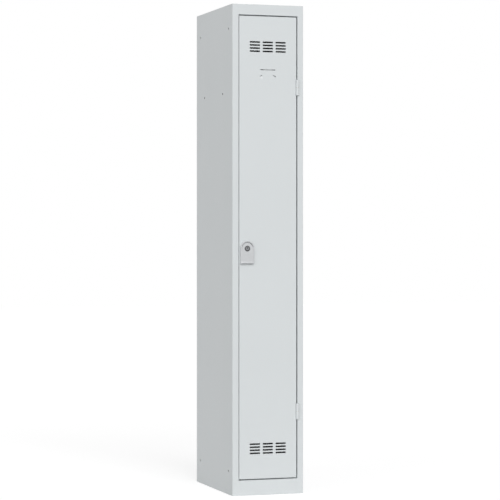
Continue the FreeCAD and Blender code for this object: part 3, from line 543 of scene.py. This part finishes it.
# %% [markdown]
# ## Pocket round the lock
# The lock sits in an arched pocket whose floor slopes out to the face below it, with a groove under the arch.
# The pocket is an inset of the upper face, tipped back about its lower edge. A second inset makes a narrow
# band round the floor, and the arched part of that band is pushed in as the groove.

# %% Pocket and groove of the pull plate
POCKET_DEPTH = 0.0038
GROOVE_WIDTH = 0.0024
GROOVE_DEPTH = 0.0034
GROOVE_ABOVE_LOCK = 0.006

pocket_slope = math.atan(POCKET_DEPTH / (grip_high.z - POCKET_RIM - pocket_z))


def inside_outline(corner):
    """How far a corner lies inside the plate's outline."""
    if corner.z > crown_z:
        return half_width - math.hypot(corner.x - LOCK_X, corner.z - crown_z)
    return half_width - abs(corner.x - LOCK_X)


def on_pocket_floor(corner):
    """Whether a corner lies on the pocket's sloping floor."""
    return abs(corner.y - face_y - (corner.z - pocket_z) * math.tan(pocket_slope)) < VERY_CLOSE


choose(plate, "FACE", lambda c: c.y < face_y + CLOSE and c.z > pocket_z - POCKET_RIM - CLOSE)
bpy.ops.mesh.inset(thickness=POCKET_RIM)
pull()
tip(pocket_slope, (LOCK_X, face_y, pocket_z))
bpy.ops.mesh.inset(thickness=GROOVE_WIDTH)
choose(plate, "FACE", lambda c: (
    on_pocket_floor(c) and c.z > LOCK_Z + GROOVE_ABOVE_LOCK
    and inside_outline(c) < POCKET_RIM + GROOVE_WIDTH + CLOSE
))
pull(y=GROOVE_DEPTH)
bpy.ops.mesh.select_all(action="SELECT")
bpy.ops.mesh.remove_doubles(threshold=MERGE_DISTANCE)
print("pocket floor leans", round(math.degrees(pocket_slope), 2), "degrees")

# %% [markdown]
# ## Roundings and hollow of the pull plate
# A moulding has no sharp edges. The outline is rounded broadly and the pocket's arch finely, each with a
# bevel on edges that are found by their place. Then the lower face is inset by the wall and drawn up inside,
# in two steps that follow the flare, which makes the hollow for fingertips.

# %% Round the outline and hollow the lip
RIM_ROUNDING = 0.0036
ARCH_ROUNDING = 0.0007
GRIP_WALL = 0.0023
HOLLOW_HEIGHT = 0.038
LIP_ROUNDING = 0.0007


def leave_out_wide_edges(piece, width):
    """Deselects edges that run across the piece."""
    shape = bmesh.from_edit_mesh(piece.data)
    for edge in shape.edges:
        if abs(edge.verts[0].co.x - edge.verts[1].co.x) > width:
            edge.select_set(False)
    bmesh.update_edit_mesh(piece.data)


choose(plate, "EDGE", lambda c: c.y < face_y + CLOSE and inside_outline(c) < CLOSE)
leave_out_wide_edges(plate, half_width)
round_off(RIM_ROUNDING, steps=7)
choose(plate, "EDGE", lambda c: (
    abs(c.y - face_y) < VERY_CLOSE and abs(inside_outline(c) - POCKET_RIM) < VERY_CLOSE
    and c.z > crown_z - CLOSE
))
round_off(ARCH_ROUNDING, steps=3)
choose(plate, "FACE", lambda c: c.z < grip_low.z + CLOSE)
bpy.ops.mesh.inset(thickness=GRIP_WALL)
pull(z=FLARE_HEIGHT)
hollow_taper = (GRIP_PROUD - 2 * GRIP_WALL) / (DOOR_FACE - grip_low.y - 2 * GRIP_WALL)
bpy.ops.transform.resize(value=(1, hollow_taper, 1), center_override=(LOCK_X, DOOR_FACE - GRIP_WALL, flare_z))
pull(z=HOLLOW_HEIGHT - FLARE_HEIGHT)
choose(plate, "EDGE", lambda c: abs(c.z - grip_low.z) < CLOSE and c.y < grip_low.y + CLOSE)
round_off(LIP_ROUNDING, steps=3)
leave_editing()
print("pull plate rounded:", len(plate.data.polygons), "faces")

# %% [markdown]
# ## Lock seat and pegs of the pull plate
# The lock's collar sits in a round seat, its barrel goes through a hole, and two pegs reach through the door
# skin. These turned shapes meet the sloping floor, so they are cut and added with booleans.

# %% Seat, lock hole and pegs
SEAT_RADIUS = 0.012
SEAT_PROUD = 0.0052
BARREL_HOLE = 0.0091
PEG_RADIUS = 0.002
PEG_PLACES = ((-0.018, -0.014), (0.018, -0.014))
PEG_REACH = 0.003
BAR_SIDES = 64
BROKEN_EDGE = 0.0005
BROKEN_SHARE = 1 / 8
OVERLAP = 0.001


def turned_bar(name, radius, front, back, x=LOCK_X, z=LOCK_Z):
    """A round bar along Y with its front edge broken."""
    bpy.ops.object.select_all(action="DESELECT")
    bpy.ops.mesh.primitive_cylinder_add(
        vertices=BAR_SIDES, radius=radius, depth=back - front, location=(x, (front + back) / 2, z),
        rotation=(math.pi / 2, 0, 0),
    )
    bar = start_editing(name)
    choose(bar, "EDGE", lambda c: c.y < front + VERY_CLOSE)
    round_off(min(radius * BROKEN_SHARE, BROKEN_EDGE), steps=3)
    leave_editing()
    return bar


seat_y = DOOR_FACE - SEAT_PROUD
before_lip = 2 * grip_low.y - DOOR_FACE
combine(plate, turned_bar("seat", SEAT_RADIUS, before_lip, seat_y), "DIFFERENCE")
combine(plate, turned_bar("lock_hole", BARREL_HOLE, seat_y - OVERLAP, DOOR_FACE + OVERLAP), "DIFFERENCE")
for across, up in PEG_PLACES:
    peg_ends = (DOOR_FACE - OVERLAP, DOOR_FACE + PEG_REACH)
    combine(plate, turned_bar("peg", PEG_RADIUS, *peg_ends, LOCK_X + across, LOCK_Z + up), "UNION")
put_on(plate, "door", "grip_plastic", grip_plastic, "handle_grip")

# %% [markdown]
# ## Lock housing
# The lock's housing is turned: a collar with a rounded rim and a fine bead in front, and a threaded barrel
# behind. A lathe works from a profile, and so does Spin: a single corner is extruded point by point into half
# the section, which is spun once round the lock's axis. The thread is a row of plain ridges: at this size a
# true helix would look the same.

# %% Turned collar and threaded barrel
PLUG_BORE = 0.00655
COLLAR_RADIUS = 0.011
BARREL_CREST = 0.009
BARREL_ROOT = 0.00856
THREAD_PITCH = 0.001
THREAD_START = 0.0015
THREAD_END = 0.001
TURNING_STEPS = 72
POINT_SIZE = 0.001

collar_y, barrel_end = [corner.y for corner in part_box("lock_body")]
COLLAR_PROFILE = (
    (PLUG_BORE, collar_y + 0.0003), (0.0069, collar_y), (0.0075, collar_y), (0.0078, collar_y + 0.0003),
    (0.0081, collar_y + 0.0003), (0.0084, collar_y), (0.0098, collar_y), (0.0103, collar_y + 0.0001),
    (0.01076, collar_y + 0.0004), (COLLAR_RADIUS, collar_y + 0.0009), (COLLAR_RADIUS, seat_y),
)


def lathe(name, profile):
    """A ring turned round the lock's axis from the corners of its section: radius and place along Y."""
    bpy.ops.object.select_all(action="DESELECT")
    radius, place = profile[0]
    bpy.ops.mesh.primitive_plane_add(size=POINT_SIZE, location=(LOCK_X + radius, place, LOCK_Z))
    ring = start_editing(name)
    bpy.ops.mesh.merge(type="CENTER")
    for next_radius, next_place in profile[1:]:
        pull(x=next_radius - radius, y=next_place - place)
        radius, place = next_radius, next_place
    ends = [Vector((LOCK_X + radius, place, LOCK_Z)) for radius, place in (profile[0], profile[-1])]
    choose(ring, "VERT", lambda c: min((c - end).length for end in ends) < VERY_CLOSE / 10)
    bpy.ops.mesh.edge_face_add()
    bpy.ops.mesh.select_all(action="SELECT")
    bpy.ops.mesh.spin(steps=TURNING_STEPS, angle=math.tau, center=(LOCK_X, 0, LOCK_Z), axis=(0, 1, 0))
    leave_editing()
    return ring


thread_start = DOOR_FACE + THREAD_START
thread_turns = int((barrel_end - thread_start - THREAD_END) / THREAD_PITCH)
housing_profile = [*COLLAR_PROFILE, (BARREL_CREST, seat_y)]
for turn in range(thread_turns):
    housing_profile.append((BARREL_CREST, thread_start + THREAD_PITCH * turn))
    housing_profile.append((BARREL_ROOT, thread_start + THREAD_PITCH * (turn + 0.5)))
housing_profile.append((BARREL_CREST, thread_start + THREAD_PITCH * thread_turns))
housing_profile += [(BARREL_CREST, barrel_end), (PLUG_BORE, barrel_end)]
housing = lathe("lock_housing", housing_profile)
print("housing turned with", thread_turns, "ridges")

# %% [markdown]
# ## Flats of the lock housing
# A flat down each side of the barrel keeps the lock from turning in the door. They are milled off after the
# turning, behind the collar, and a boolean with a block on each side does the same.

# %% Mill the flats
BARREL_FLAT = 0.0082
MILL_WIDTH = 0.010
MILL_HEIGHT = 0.020
MILL_RELIEF = 0.0002

mill_start = seat_y + MILL_RELIEF
mill_end = barrel_end + OVERLAP
for side in (-1, 1):
    bpy.ops.object.select_all(action="DESELECT")
    bpy.ops.mesh.primitive_cube_add(
        size=1, scale=(MILL_WIDTH, mill_end - mill_start, MILL_HEIGHT),
        location=(LOCK_X + side * (BARREL_FLAT + MILL_WIDTH / 2), (mill_start + mill_end) / 2, LOCK_Z),
    )
    mill = start_editing("mill")
    leave_editing()
    combine(housing, mill, "DIFFERENCE")
put_on(housing, "door", "lock_nickel", lock_nickel, "lock_body")

# %% [markdown]
# ## Lock nut
# A hexagon nut draws the lock against the door from behind. Its corners are chamfered on the lathe, so the
# hexagon keeps only what a round bar with broken rims has in common with it. That is a boolean intersection,
# and the threaded hole is a difference.

# %% Chamfered nut
NUT_SIDES = 6
NUT_HALF_ANGLE = math.radians(30)
NUT_ACROSS_FLATS = 0.024
NUT_CHAMFER = 0.0012
NUT_TRIM = 0.0001
THREAD_PLAY = 0.00005

nut_low, nut_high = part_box("lock_nut")
nut_corner = NUT_ACROSS_FLATS / 2 / math.cos(NUT_HALF_ANGLE)
nut_middle = (LOCK_X, (nut_low.y + nut_high.y) / 2, LOCK_Z)


def disc(name, sides, radius, depth):
    """A flat prism or disc across the lock's axis, in edit mode."""
    bpy.ops.object.select_all(action="DESELECT")
    bpy.ops.mesh.primitive_cylinder_add(
        vertices=sides, radius=radius, depth=depth, location=nut_middle, rotation=(math.pi / 2, 0, 0),
    )
    return start_editing(name)


nut_depth = nut_high.y - nut_low.y
rim_bar = disc("rim_bar", TURNING_STEPS, nut_corner, nut_depth)
for end in (nut_low.y, nut_high.y):
    choose(rim_bar, "EDGE", lambda c: abs(c.y - end) < VERY_CLOSE)
    round_off(NUT_CHAMFER, steps=1)
leave_editing()
hole_bar = disc("hole_bar", TURNING_STEPS, BARREL_CREST + THREAD_PLAY, 2 * nut_depth)
leave_editing()
nut = disc("chamfered_nut", NUT_SIDES, nut_corner - NUT_TRIM, nut_depth)
bpy.ops.transform.rotate(value=NUT_HALF_ANGLE, orient_axis="Y", center_override=nut_middle)
leave_editing()
combine(nut, rim_bar, "INTERSECT")
combine(nut, hole_bar, "DIFFERENCE")
put_on(nut, "door", "zinc_steel", zinc_plate, "lock_nut")

# %% [markdown]
# ## Coat hooks
# Two black plastic hooks hang from the rail, each on an oval eye that slides but can't turn. The eye could be
# a boolean of two ovals. Here a cylinder is parted at its middle and its halves are moved up and down, which
# makes it oval, and its two ends are inset and bridged through, so that its walls keep clean edges to round.

# %% Oval eye of a hook
EYE_WALL = 0.004
EYE_GAP = 0.0003
EYE_SIDES = 62
EYE_OUTER_ROUNDING = 0.0014
EYE_INNER_ROUNDING = 0.0005

hook_low, hook_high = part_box("left_coat_hook")
rail_low, rail_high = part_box("coat_rail")
hook_x = (hook_low.x + hook_high.x) / 2
hook_width = hook_high.x - hook_low.x
rail_z = (rail_low.z + rail_high.z) / 2
rail_round = (rail_high.y - rail_low.y) / 2
rail_straight = (rail_high.z - rail_low.z) / 2 - rail_round
eye_radius = rail_round + EYE_GAP + EYE_WALL


def from_rail_axis(corner):
    """How far a corner lies from the middle line of the oval rail."""
    beyond = max(abs(corner.z - rail_z) - rail_straight, 0)
    return math.hypot(corner.y, beyond)


bpy.ops.object.select_all(action="DESELECT")
bpy.ops.mesh.primitive_cylinder_add(
    vertices=EYE_SIDES, radius=eye_radius, depth=hook_width, location=(hook_x, 0, rail_z),
    rotation=(0, math.pi / 2, 0),
)
eye = start_editing("eye")
for way in (-1, 1):
    choose(eye, "VERT", lambda c: (c.z - rail_z) * way > 0)
    bpy.ops.transform.translate(value=(0, 0, way * rail_straight))
choose(eye, "FACE", lambda c: abs(c.x - hook_low.x) < VERY_CLOSE)
bpy.ops.mesh.inset(thickness=EYE_WALL)
choose(eye, "FACE", lambda c: abs(c.x - hook_high.x) < VERY_CLOSE)
bpy.ops.mesh.inset(thickness=EYE_WALL)
choose(eye, "FACE", lambda c: from_rail_axis(c) < rail_round + 2 * EYE_GAP)
bpy.ops.mesh.bridge_edge_loops()
for radius, rounding in ((eye_radius, EYE_OUTER_ROUNDING), (rail_round + EYE_GAP, EYE_INNER_ROUNDING)):
    for end in (hook_low.x, hook_high.x):
        choose(eye, "EDGE", lambda c: abs(c.x - end) < VERY_CLOSE and abs(from_rail_axis(c) - radius) < CLOSE)
        round_off(rounding, steps=3)
leave_editing()
print("eye", round(2 * (eye_radius + rail_straight), 4), "m tall and", round(2 * eye_radius, 4), "m wide")

# %% [markdown]
# ## Shank, bend and tip of a hook
# A moulded hook is a rounded bar swept along a J, so a small flat shape with rounded corners is drawn down as
# the shank, spun half round as the bend and drawn up as the tip. A curve with a bevel would sweep it too, but
# this way each run keeps its own length. The shank starts inside the eye's wall, and a union makes them one.

# %% Bar of a hook
HOOK_BAR = 0.005
HOOK_CORNER = 0.0017
BEND_RADIUS = 0.0105
BEND_STEPS = 16
TIP_RISE = 0.0092

shank_top = rail_z - rail_straight - eye_radius + EYE_WALL / 2
bend_z = hook_low.z + BEND_RADIUS + HOOK_BAR / 2
bpy.ops.object.select_all(action="DESELECT")
bpy.ops.mesh.primitive_plane_add(size=HOOK_BAR, location=(hook_x, 0, shank_top))
hook = start_editing("left_hook_moulding")
bpy.ops.transform.resize(value=(hook_width / HOOK_BAR, 1, 1), center_override=(hook_x, 0, shank_top))
bpy.ops.mesh.bevel(offset=HOOK_CORNER, segments=4, affect="VERTICES")
bpy.ops.mesh.select_mode(type="FACE")
bpy.ops.mesh.select_all(action="SELECT")
pull(z=bend_z - shank_top)
bpy.ops.mesh.spin(steps=BEND_STEPS, angle=math.pi, center=(hook_x, -BEND_RADIUS, bend_z), axis=(1, 0, 0))
pull(z=TIP_RISE)
choose(hook, "EDGE", lambda c: c.z > bend_z + TIP_RISE - VERY_CLOSE and c.y < -BEND_RADIUS)
round_off(HOOK_CORNER, steps=4)
leave_editing()
combine(hook, eye, "UNION")
print("hook", round(hook_width, 4), "m wide")

# %% [markdown]
# ## Two hooks
# The hooks come from the same mould, so the second is a copy of the first, moved along the rail and then
# given its own place in its mesh. Each rides on its own body, because each slides by itself.

# %% Both hooks on their bodies
right_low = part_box("right_coat_hook")[0]
bpy.ops.object.select_all(action="DESELECT")
hook.select_set(True)
bpy.context.view_layer.objects.active = hook
bpy.ops.object.duplicate_move(TRANSFORM_OT_translate={"value": (right_low.x - hook_low.x, 0, 0)})
right_hook = bpy.context.object
right_hook.name = "right_hook_moulding"
bpy.ops.object.transform_apply(location=True, rotation=True, scale=True)
put_on(hook, "left_hook", "hook_plastic", hook_plastic, "left_coat_hook")
put_on(right_hook, "right_hook", "hook_plastic", hook_plastic, "right_coat_hook")

# %% [markdown]
# ## Door pads
# Three rubber pads on the stop lip take the knock when the door closes. Each is a low button with a soft rim
# and a dimple, as such pads are moulded. One is modelled from a cylinder by a bevel and two insets, copied up
# the lip, and the three are joined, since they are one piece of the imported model.

# %% Rubber pads
PAD_COUNT = 3
PAD_SIDES = 40
PAD_RIM = 0.0009
PAD_DIMPLE_RIM = 0.0007
PAD_DIMPLE = 0.0005

pads_low, pads_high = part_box("door_buffers")
pad_radius = (pads_high.x - pads_low.x) / 2
pad_step = (pads_high.z - pads_low.z - 2 * pad_radius) / (PAD_COUNT - 1)
pad_place = ((pads_low.x + pads_high.x) / 2, (pads_low.y + pads_high.y) / 2, pads_low.z + pad_radius)
bpy.ops.object.select_all(action="DESELECT")
bpy.ops.mesh.primitive_cylinder_add(
    vertices=PAD_SIDES, radius=pad_radius, depth=pads_high.y - pads_low.y, location=pad_place,
    rotation=(math.pi / 2, 0, 0),
)
pad = start_editing("rubber_pads")
choose(pad, "EDGE", lambda c: c.y < pads_low.y + VERY_CLOSE)
round_off(PAD_RIM, steps=4)
choose(pad, "FACE", lambda c: c.y < pads_low.y + VERY_CLOSE)
bpy.ops.mesh.inset(thickness=PAD_DIMPLE_RIM)
bpy.ops.mesh.inset(thickness=PAD_DIMPLE)
bpy.ops.transform.translate(value=(0, PAD_DIMPLE, 0))
leave_editing()
pads = [pad]
for copy in range(1, PAD_COUNT):
    bpy.ops.object.select_all(action="DESELECT")
    pad.select_set(True)
    bpy.context.view_layer.objects.active = pad
    bpy.ops.object.duplicate_move(TRANSFORM_OT_translate={"value": (0, 0, pad_step * copy)})
    pads.append(bpy.context.object)
for each in pads:
    each.select_set(True)
bpy.context.view_layer.objects.active = pad
bpy.ops.object.join()
put_on(pad, "carcass", "buffer_rubber", buffer_rubber, "door_buffers")
